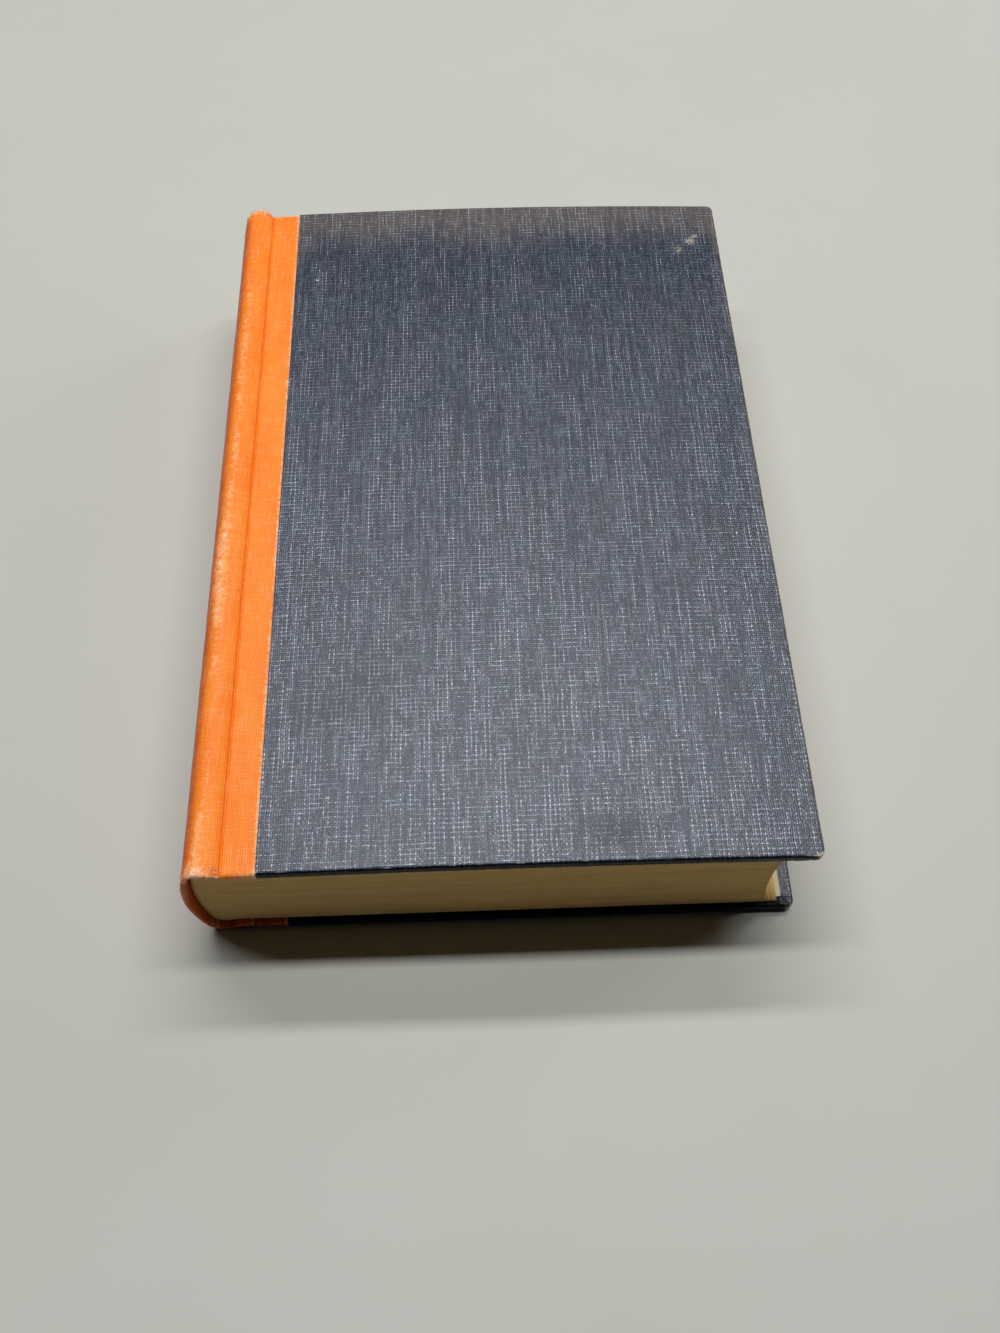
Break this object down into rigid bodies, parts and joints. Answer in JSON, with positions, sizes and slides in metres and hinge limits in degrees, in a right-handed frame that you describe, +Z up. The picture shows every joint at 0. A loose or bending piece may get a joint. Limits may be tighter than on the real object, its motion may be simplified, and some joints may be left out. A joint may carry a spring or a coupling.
{
  "type": "hardback book",
  "caption": "Quarter-bound cloth hardback book with rounded spine, concave fore edge and opening covers, lying closed on its back cover.",
  "frame": {"origin": "under the middle of the closed book's box, on the surface it lies on", "axes": "+X from the spine to the fore edge, +Y from the tail to the head, +Z up through the front cover"},
  "size_m": [0.152, 0.216, 0.0428],
  "materials": {
    "leaves": "matte",
    "endpaper": "matte",
    "mull": "matte",
    "lining_paper": "matte",
    "inlay_card": "matte",
    "grey_board": "matte",
    "side_cloth": "matte",
    "spine_cloth": "matte"
  },
  "bodies": {
    "book_block": {"text_block": "leaves", "front_flyleaf": "endpaper", "back_flyleaf": "endpaper", "spine_mull": "mull", "spine_lining": "lining_paper", "spine_inlay": "inlay_card", "spine_cloth": "spine_cloth"},
    "front_cover": {"front_board": "grey_board", "front_side_cloth": "side_cloth", "front_cloth_strip": "spine_cloth", "front_mull_flap": "mull", "front_pastedown": "endpaper"},
    "back_cover": {"back_board": "grey_board", "back_side_cloth": "side_cloth", "back_cloth_strip": "spine_cloth", "back_mull_flap": "mull", "back_pastedown": "endpaper"}
  },
  "joints": [
    {"name": "front_cover_joint", "type": "hinge", "parent": "book_block", "child": "front_cover", "pos_m": [-0.06349, 0, 0.04225], "axis": [0, -1, 0], "range_deg": [0, 179]},
    {"name": "back_cover_joint", "type": "hinge", "parent": "book_block", "child": "back_cover", "pos_m": [-0.06219, 0, -0.00085], "axis": [0, 1, 0], "range_deg": [0, 179]}
  ]
}
